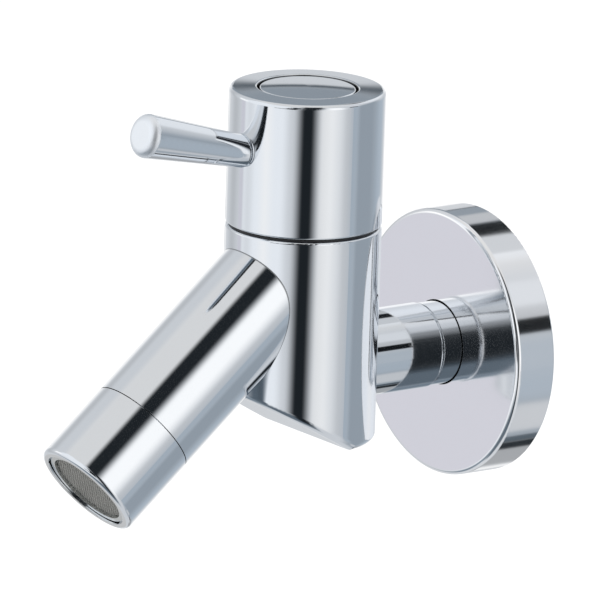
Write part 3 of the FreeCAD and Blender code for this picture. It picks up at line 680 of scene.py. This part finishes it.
@dataclass
class Aerator:
    """Insert in the mouth of the sleeve, with a woven outlet screen."""

    wire_radius: float = 0.105 * MM
    pitch: float = 0.56 * MM
    weave_turn: float = 45.0
    steps_per_cross: int = 5
    least_steps: int = 4
    sides: int = 6
    edge_gap: float = 0.1 * MM
    shell: ChromeFinish = ChromeFinish(
        "shell_plating", colour=(0.66, 0.68, 0.68), roughness=0.14, ripple=0.3
    )
    core: MouldedFinish = MouldedFinish(
        "aerator_acetal", (0.76, 0.76, 0.74), roughness=0.42, grain_scale=1500.0
    )
    washer: MouldedFinish = MouldedFinish(
        "aerator_rubber", (0.028, 0.028, 0.03), roughness=0.6, grain_scale=2400.0
    )
    wire: WireFinish = WireFinish()

    def build(self) -> None:
        """Dresses the insert and weaves the screen."""
        dress_nodes(self.shell, "aerator_shell")
        dress_nodes(self.core, "aerator_core", "aerator_strainer")
        dress_nodes(self.washer, "aerator_washer")
        screen = self.weave()
        dress(screen, self.wire.build())
        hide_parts("aerator_mesh")
        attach(screen, "tap")
        log.info("%s woven in the mouth", screen.name)

    def seat(self) -> tuple[np.ndarray, np.ndarray, float]:
        """Finds the plane of the screen from the CAD node that it stands for.

        Returns:
            The screen's centre, its axes as three rows, and its radius. The rows are the two
            directions of the wires and the way out of the mouth.
        """
        low, high = (np.array(corner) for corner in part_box("aerator_mesh"))
        fall = math.radians(SPOUT_FALL)
        out = np.array([0.0, -math.cos(fall), -math.sin(fall)])
        across = np.array([1.0, 0.0, 0.0])
        rising = np.cross(out, across)
        turn = math.radians(self.weave_turn)
        first = math.cos(turn) * across + math.sin(turn) * rising
        axes = np.stack((first, np.cross(out, first), out))
        return (low + high) / 2, axes, (high[0] - low[0]) / 2 - self.edge_gap

    def weave(self) -> bpy.types.Object:
        """Weaves the screen as a plain weave of two families of wires.

        Wire k of a family runs along s at the offset k pitches from the middle, and its height is
        one wire radius times (-1)^k cos(pi s / pitch), so each crossing passes over and then under.
        The tube round it is the circle of the wire's radius in the plane of its height and offset.
        Two quads across the six sides close each end of a wire.

        Returns:
            The screen as one mesh with a crest attribute, 0 at its underside and 1 at its top,
            which sets the wires' painted shade.
        """
        centre, axes, reach = self.seat()
        count = int(reach / self.pitch)
        parts: list[np.ndarray] = []
        faces: list[np.ndarray] = []
        crests: list[np.ndarray] = []
        start = 0
        ring = np.linspace(0.0, math.tau, self.sides, endpoint=False)
        for family in (0, 1):
            for k in range(-count, count + 1):
                offset = k * self.pitch
                half = math.sqrt(max(reach**2 - offset**2, self.pitch**2))
                steps = max(self.least_steps, int(2 * half / self.pitch * self.steps_per_cross))
                s = np.linspace(-half, half, steps)
                sign = (-1.0) ** (k + family)
                height = sign * self.wire_radius * np.cos(math.pi * s / self.pitch)
                across = offset + self.wire_radius * np.cos(ring)
                run, side = np.broadcast_arrays(s[:, None], across[None, :])
                lift = height[:, None] + self.wire_radius * np.sin(ring)[None, :]
                plane = (run, side, lift) if family == 0 else (side, run, lift)
                points = np.stack(plane, axis=-1).reshape(-1, 3)
                tube = grid_faces(steps, self.sides, ring=True, start=start)
                ends = np.array([[0, 3, 2, 1], [0, 5, 4, 3]]) + start
                far_ends = ends[:, ::-1] + (steps - 1) * self.sides
                quads = np.vstack((tube, ends, far_ends))
                faces.append(quads if family == 0 else quads[:, ::-1])
                parts.append(points)
                # The height across the weave, which the wire's material turns into painted shade
                # below the mean plane.
                crests.append((lift / (4 * self.wire_radius) + 0.5).ravel())
                start += len(points)
        local = np.vstack(parts)
        made = make_piece("outlet_screen", centre + local @ axes, np.vstack(faces))
        crest = made.data.attributes.new("crest", "FLOAT", "POINT")
        crest.data.foreach_set("value", np.concatenate(crests).astype(np.float32))
        return made


@dataclass
class Handle:
    """Turning handle with its cap, lever and hidden fastening."""

    # Painted shade: the wall of the seam round the cap is painted darker and duller.
    cap_seam_shade: SeamShade = SeamShade((0.0, COLUMN_Y), radius=12.5 * MM, top=70.35 * MM, depth=0.25 * MM)
    shell: ChromeFinish = ChromeFinish("handle_plating", ripple=0.6, patch=cap_seam_shade)
    cap: ChromeFinish = ChromeFinish("cap_plating", ripple=0.3)
    # Painted highlight: the lever's end is painted brighter and given duller gloss.
    lever_end_highlight: SatinEndHighlight = SatinEndHighlight(
        LEVER_START, LEVER_RISE, distance=49.9 * MM, tone=1.14, dulling=0.4
    )
    lever: ChromeFinish = ChromeFinish("lever_plating", ripple=0.4, patch=lever_end_highlight)
    bush: MouldedFinish = MouldedFinish(
        "bush_plastic", (0.05, 0.05, 0.055), roughness=0.5, grain_scale=1400.0
    )
    glide: MouldedFinish = MouldedFinish(
        "glide_plastic",
        (0.014, 0.015, 0.018),
        roughness=0.4,
        grain_scale=1400.0,
        specular=0.3,
        bloom=0.02,
    )
    rubber: MouldedFinish = MouldedFinish(
        "ring_rubber", (0.025, 0.025, 0.027), roughness=0.58, grain_scale=2600.0
    )
    screw: MachinedFinish = MachinedFinish("screw_steel", (0.56, 0.56, 0.57), roughness=0.24)
    stud: MachinedFinish = MachinedFinish(
        "stud_steel", (0.56, 0.56, 0.57), roughness=0.24, lay=Lay.LEVER, centre=LEVER_START
    )

    def build(self) -> None:
        """Dresses the handle, its lever and fastening, and the ring that it glides on."""
        dress_nodes(self.shell, "handle_shell")
        dress_nodes(self.cap, "handle_cap")
        dress_nodes(self.lever, "lever_rod")
        dress_nodes(self.stud, "lever_stud")
        dress_nodes(self.screw, "handle_screw")
        dress_nodes(self.rubber, "cap_ring")
        dress_nodes(self.bush, "spline_bush")
        dress_nodes(self.glide, "glide_ring")


@dataclass
class CeramicValve:
    """Quarter-turn valve inside the column."""

    brass: MachinedFinish = MachinedFinish("valve_brass", (0.78, 0.61, 0.31))
    steel: MachinedFinish = MachinedFinish("clip_steel", (0.60, 0.60, 0.61))
    ceramic: MouldedFinish = MouldedFinish(
        "lapped_ceramic",
        (0.9, 0.89, 0.85),
        roughness=0.18,
        grain_scale=4200.0,
        grain_depth=0.004 * MM,
        bloom=0.3,
    )
    rubber: MouldedFinish = MouldedFinish(
        "valve_rubber", (0.025, 0.025, 0.027), roughness=0.58, grain_scale=2600.0
    )
    slip: MouldedFinish = MouldedFinish(
        "slip_washer", (0.72, 0.72, 0.69), roughness=0.4, grain_scale=1800.0, grain_depth=0.01 * MM
    )

    def build(self) -> None:
        """Dresses the valve's metal, discs and seals."""
        dress_nodes(self.brass, "headwork_body", "spindle")
        dress_nodes(self.ceramic, "fixed_disc", "turning_disc")
        dress_nodes(self.rubber, "headwork_ring", "seat_washer", "spindle_rings")
        dress_nodes(self.slip, "thrust_washer")
        dress_nodes(self.steel, "spindle_clip")


# Studio


@dataclass(frozen=True)
class Panel:
    """A soft light or dark board of the studio, placed by direction.

    Azimuth 0 lies in front of the tap, towards -Y, and +90 lies towards +X. Soft is the width of
    the border, half of it inside. The lean moves the panel's middle by that many degrees for each
    degree of elevation, and the flare widens it for each degree above the horizon.
    """

    name: str
    azimuth: float
    elevation: float
    half_width: float
    half_height: float
    level: float
    soft: float = 6.0
    tint: Tint = Tint.NEUTRAL
    lean: float = 0.0
    flare: float = 0.0


# Name, azimuth, elevation, half width, half height, level, soft and tint of each panel. A later
# panel covers the earlier ones.
PANELS: tuple[Panel, ...] = (
    Panel("front_scrim", -12.0, 6.0, 38.0, 64.0, 0.96, 19.0, Tint.COOL),
    Panel("ceiling_cloth", 0.0, 90.0, 360.0, 38.0, 0.78, 14.0),
    Panel("left_dip", -83.0, 4.0, 10.0, 32.0, 0.57, 22.0, Tint.COOL, lean=-0.5),
    Panel("back_left_softbox", -124.0, -12.0, 20.0, 23.0, 1.0, 16.0),
    Panel("back_cloth", -158.0, 37.0, 33.0, 20.0, 0.90, 18.0, Tint.COOL),
    Panel("back_wall", -173.0, -24.0, 17.0, 20.0, 0.53, 20.0, Tint.STEEL),
    Panel("back_right_grey", 153.0, -22.0, 27.0, 44.0, 0.38, 32.0, Tint.STEEL),
    Panel("right_dip", 119.5, -15.0, 10.0, 12.0, 0.62, 16.0, Tint.COOL),
    Panel("right_cloth", 86.5, -17.0, 12.5, 18.0, 0.90, 20.0),
    Panel("right_softbox", 98.0, 13.0, 12.5, 25.0, 1.14, 16.0, lean=-0.10),
    Panel("underside_cloth", -123.0, -21.0, 9.0, 8.0, 0.66, 5.0, Tint.COOL),
    Panel("mouth_cloth", -104.0, -38.0, 6.0, 6.0, 0.6, 5.0),
    Panel("low_table", 16.0, -52.0, 48.0, 22.0, 0.16, 21.0, Tint.TEAL),
    Panel("low_left_table", -46.0, -43.0, 21.0, 12.0, 0.24, 20.0, Tint.TEAL),
    Panel("tip_cloth", -52.5, 6.0, 9.0, 10.0, 1.12, 8.0),
    Panel("front_dip", -38.0, -14.0, 8.0, 8.0, 0.81, 16.0, Tint.COOL),
    Panel("front_glow", -6.0, -14.0, 7.0, 10.0, 1.02, 20.0),
    Panel("face_cloth", -54.0, -14.5, 4.5, 4.5, 0.69, 5.0, Tint.LILAC),
    Panel("lever_shade", 30.5, 7.0, 8.5, 17.0, 0.012, 5.0, Tint.TEAL, lean=0.5),
    Panel("lever_shade_foot", 20.0, -5.0, 14.0, 4.5, 0.012, 3.0, Tint.TEAL),
    Panel("lever_shade_head", 37.0, 29.0, 6.0, 8.0, 0.03, 6.0, Tint.TEAL),
    Panel("lever_side", 130.0, -16.0, 6.0, 22.0, 0.485, 11.0, Tint.STEEL),
    Panel("rim_light", 136.0, 34.0, 10.0, 11.0, 0.78, 6.0, Tint.COOL),
    Panel("rim_light_foot", 127.0, 25.5, 5.0, 5.0, 0.56, 5.0, Tint.COOL),
    Panel("rim_top_cloth", -168.0, 53.5, 13.0, 5.0, 0.66, 4.0, Tint.COOL),
    Panel("rim_low_light", 151.0, -45.0, 14.0, 9.0, 0.62, 6.0, Tint.COOL),
    Panel("rim_foot", -149.0, -46.5, 24.0, 9.5, 0.41, 8.0, Tint.COOL),
    Panel("top_near_cloth", -124.0, 5.5, 8.0, 9.0, 0.68, 4.0, Tint.COOL),
    Panel("top_board", -124.0, 29.0, 18.0, 14.4, 0.33, 4.0, Tint.STEEL),
    Panel("top_board_edge", -126.0, 14.0, 8.0, 1.0, 0.09, 2.0, Tint.TEAL),
    Panel("rim_high_light", -114.4, 33.0, 3.5, 6.0, 0.55, 3.0, Tint.COOL, lean=-0.58),
    Panel("rim_slot_high", -146.5, 44.6, 9.0, 5.4, 0.012, 3.0, Tint.TEAL),
    Panel("rim_slot_right", 127.0, 16.0, 6.0, 5.2, 0.008, 2.0, Tint.TEAL),
    Panel("rim_slot_shoulder", 176.5, -54.5, 5.0, 4.0, 0.12, 3.0, Tint.TEAL),
    Panel("rim_slot_low", -171.5, -54.4, 7.0, 4.0, 0.025, 5.0, Tint.TEAL),
    Panel("camera_gap", 57.9, 6.0, 13.6, 60.0, 0.018, 18.0, Tint.TEAL, lean=0.146, flare=0.12),
)


@dataclass
class Studio:
    """Pale floor, soft light and the long lens that the photograph was taken with."""

    floor_drop: float = 0.32
    floor_side: float = 60.0
    base_level: float = 0.70
    sky_level: float = 1.08
    azimuth: float = 53.69
    elevation: float = 14.47
    roll: float = 1.893
    pixels_per_metre: float = 4047.0
    origin_pixel: tuple[float, float] = (475.8, 336.4)
    aim_depth: float = 0.035
    distance: float = 5.0
    nearest: float = 0.1
    farthest: float = 200.0
    floor_pale: tuple[float, float, float] = (0.97, 0.97, 0.97)
    floor_dim: tuple[float, float, float] = (0.955, 0.955, 0.958)
    floor_scale: float = 3.0
    lamp_watts: float = 8.0
    lamp_side: float = 1.6
    lamp_place: tuple[float, float, float] = (-0.6, -1.2, 1.5)
    lamp_aim: tuple[float, float, float] = (0.0, -0.05, 0.0)
    panels: tuple[Panel, ...] = PANELS

    def build(self) -> None:
        """Lays the floor, lights the room and sets the camera."""
        self.lay_floor()
        self.light_room()
        self.hang_key_light()
        self.set_camera()
        bpy.context.scene.view_settings.view_transform = "Standard"
        log.info("studio ready with %d panels", len(self.panels))

    def lay_floor(self) -> None:
        """Lays a plain pale floor well below the tap, unseen from under it."""
        half = self.floor_side / 2
        corner = np.array([-half, half])
        x, y = np.meshgrid(corner, corner)
        points = np.stack((x, y, np.full_like(x, -self.floor_drop)), axis=-1).reshape(-1, 3)
        floor = make_piece("studio_floor", points, np.array([[0, 1, 3, 2]]), smooth=False)
        made, graph, place = start_material("pale_floor")
        mottle = graph.noise(place, self.floor_scale, 3.0)
        tone = graph.mix(mottle, rgba(self.floor_pale), rgba(self.floor_dim))
        matt = graph.node("ShaderNodeBsdfDiffuse", Color=tone)
        clear = graph.node("ShaderNodeBsdfTransparent")
        back = graph.node("ShaderNodeNewGeometry").outputs["Backfacing"]
        shown = graph.blend(back, matt, clear)
        graph.node("ShaderNodeOutputMaterial", Surface=shown.outputs[0])
        dress(floor, made)
        floor.visible_glossy = False

    def light_room(self) -> None:
        """Builds the world: an even pale dome, and the panels that the plating mirrors.

        Azimuth is the angle of (x, -y), elevation is the arc sine of z. A panel's share is the
        product of two smooth steps, one across and one up, and later panels cover earlier ones.
        """
        world = bpy.data.worlds.new("studio_world")
        bpy.context.scene.world = world
        world.use_nodes = True
        graph = Graph(world.node_tree)
        way = graph.node("ShaderNodeTexCoord").outputs["Generated"]
        parts = graph.node("ShaderNodeSeparateXYZ", Vector=way).outputs
        front = graph.math("MULTIPLY", parts[1], -1.0)
        azimuth = graph.math("DEGREES", graph.math("ARCTAN2", parts[0], front))
        elevation = graph.math("DEGREES", graph.math("ARCSINE", parts[2]))
        shown: object = rgba(Tint.COOL.value, self.base_level)
        for panel in self.panels:
            share = self.panel_share(graph, azimuth, elevation, panel)
            shown = graph.mix(share, shown, rgba(panel.tint.value, panel.level))
            log.debug("%s hung at %.1f, %.1f", panel.name, panel.azimuth, panel.elevation)
        mirrored = graph.node("ShaderNodeBackground", Color=shown)
        even = graph.node("ShaderNodeBackground", Color=rgba(Tint.NEUTRAL.value, self.sky_level))
        ray = graph.node("ShaderNodeLightPath").outputs["Is Glossy Ray"]
        both = graph.blend(ray, even, mirrored)
        graph.node("ShaderNodeOutputWorld", Surface=both.outputs[0])

    def panel_share(
        self,
        graph: Graph,
        azimuth: bpy.types.NodeSocket,
        elevation: bpy.types.NodeSocket,
        panel: Panel,
    ) -> bpy.types.NodeSocket:
        """Adds the mask of one panel.

        Args:
            graph: The world's graph.
            azimuth: The ray's azimuth.
            elevation: The ray's elevation.
            panel: The panel.

        Returns:
            One inside the panel, zero outside, with soft borders.
        """
        leant = graph.math("MULTIPLY_ADD", elevation, -panel.lean, azimuth)
        turned = graph.math("WRAP", graph.math("SUBTRACT", leant, panel.azimuth), 180.0, -180.0)
        aside = graph.math("ABSOLUTE", turned)
        above = graph.math("ABSOLUTE", graph.math("SUBTRACT", elevation, panel.elevation))
        flared = graph.math("MAXIMUM", graph.math("MULTIPLY", elevation, panel.flare), 0.0)
        narrowed = graph.math("SUBTRACT", aside, flared)
        half = panel.soft / 2
        across = graph.smooth(narrowed, panel.half_width + half, panel.half_width - half)
        up = graph.smooth(above, panel.half_height + half, panel.half_height - half)
        return graph.math("MULTIPLY", across, up)

    def hang_key_light(self) -> None:
        """Hangs one large soft lamp in front of the tap, unseen in the plating."""
        lamp = bpy.data.lights.new("key_softbox", "AREA")
        lamp.energy = self.lamp_watts
        lamp.size = self.lamp_side
        made = bpy.data.objects.new("key_softbox", lamp)
        bpy.context.scene.collection.objects.link(made)
        made.location = self.lamp_place
        ahead = Vector(self.lamp_aim) - made.location
        made.rotation_euler = ahead.to_track_quat("-Z", "Y").to_euler()
        made.visible_glossy = False

    def set_camera(self) -> None:
        """Sets the camera so that the frame's origin lands on its pixel, turned by the roll."""
        turn = math.radians(self.azimuth)
        rise = math.radians(self.elevation)
        roll = math.radians(self.roll)
        flat = math.cos(rise)
        back = Vector((math.sin(turn) * flat, -math.cos(turn) * flat, math.sin(rise)))
        right = Vector((math.cos(turn), math.sin(turn), 0.0))
        up = back.cross(right)
        off = Vector((IMAGE_SIDE / 2 - self.origin_pixel[0], IMAGE_SIDE / 2 - self.origin_pixel[1]))
        level = Vector(
            (
                off.x * math.cos(roll) + off.y * math.sin(roll),
                -off.x * math.sin(roll) + off.y * math.cos(roll),
            )
        )
        aim = right * (level.x / self.pixels_per_metre) - up * (level.y / self.pixels_per_metre)
        aim += back * self.aim_depth
        lens = bpy.data.cameras.new("long_lens")
        lens.sensor_width = SENSOR
        lens.lens = SENSOR * self.pixels_per_metre * self.distance / IMAGE_SIDE
        lens.clip_start = self.nearest
        lens.clip_end = self.farthest
        camera = bpy.data.objects.new("camera", lens)
        bpy.context.scene.collection.objects.link(camera)
        axes = Matrix((right, up, back)).transposed()
        camera.matrix_world = (
            Matrix.Translation(aim + back * self.distance)
            @ axes.to_4x4()
            @ Matrix.Rotation(roll, 4, "Z")
        )
        bpy.context.scene.camera = camera


def corners(box: tuple[Vector, Vector]) -> list[list[float]]:
    """Returns a box's two corners as plain lists."""
    return [list(corner) for corner in box]


def main() -> None:
    """Builds the tap and the studio."""
    logging.basicConfig(level=logging.INFO, format="%(name)s: %(message)s")
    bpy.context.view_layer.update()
    for part in (Column(), WallFlange(), Spout(), Aerator(), Handle(), CeramicValve()):
        part.build()
    Studio().build()


if __name__ == "__main__":
    main()
